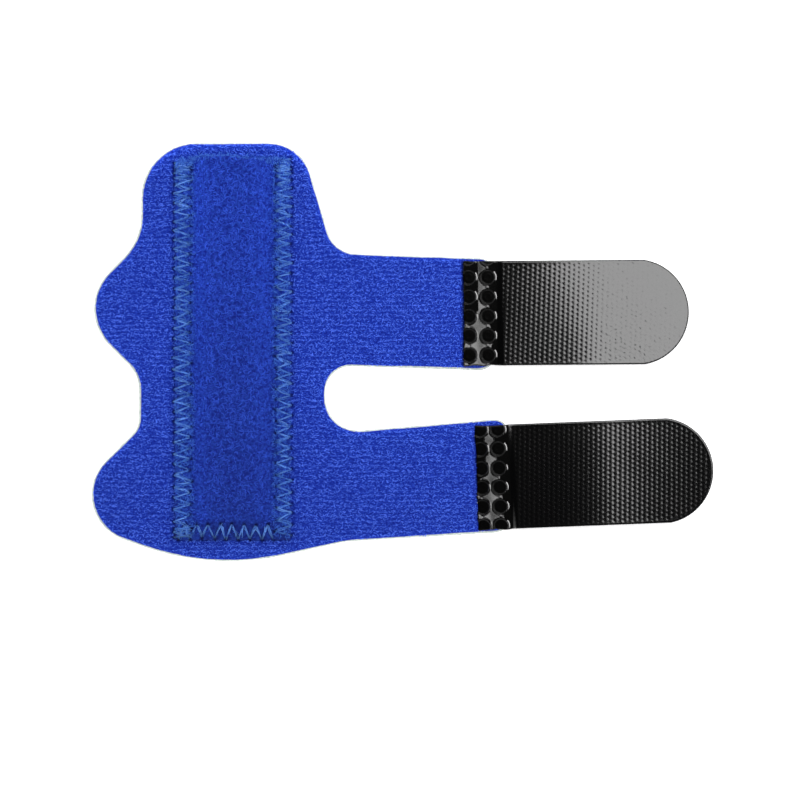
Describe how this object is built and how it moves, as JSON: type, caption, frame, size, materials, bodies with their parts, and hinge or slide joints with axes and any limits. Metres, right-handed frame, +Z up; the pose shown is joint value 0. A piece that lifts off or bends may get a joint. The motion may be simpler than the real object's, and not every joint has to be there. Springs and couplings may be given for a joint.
{
  "type": "finger splint",
  "caption": "Soft wrap-round finger splint laid flat: foam sheet with a loop fabric face, two side wings, a sewn pocket for a stay and straps that end in welded hook tabs.",
  "frame": {"origin": "the middle of the bounding box, on the flat back of the foam that rests on the table", "axes": "+X along the straps towards the hook tabs' tips, +Y along the finger towards the fingertip end, +Z up out of the loop face"},
  "size_m": [0.1202, 0.0806, 0.0051],
  "materials": {
    "foam": "matt, fine-celled, with a cut edge",
    "loop_fabric": "brushed knitted loop pile, royal blue",
    "pocket_tape": "fuzzy loop pile, deeper blue, with sewn hems",
    "hook_tape": "black moulded tape, satin and finely dotted, with glossy pressed pits at the weld"
  },
  "bodies": {
    "root": {"foam_backing": "foam", "loop_face": "loop_fabric", "stay_pocket": "pocket_tape", "hook_tab_upper": "hook_tape", "hook_tab_lower": "hook_tape"}
  },
  "joints": []
}
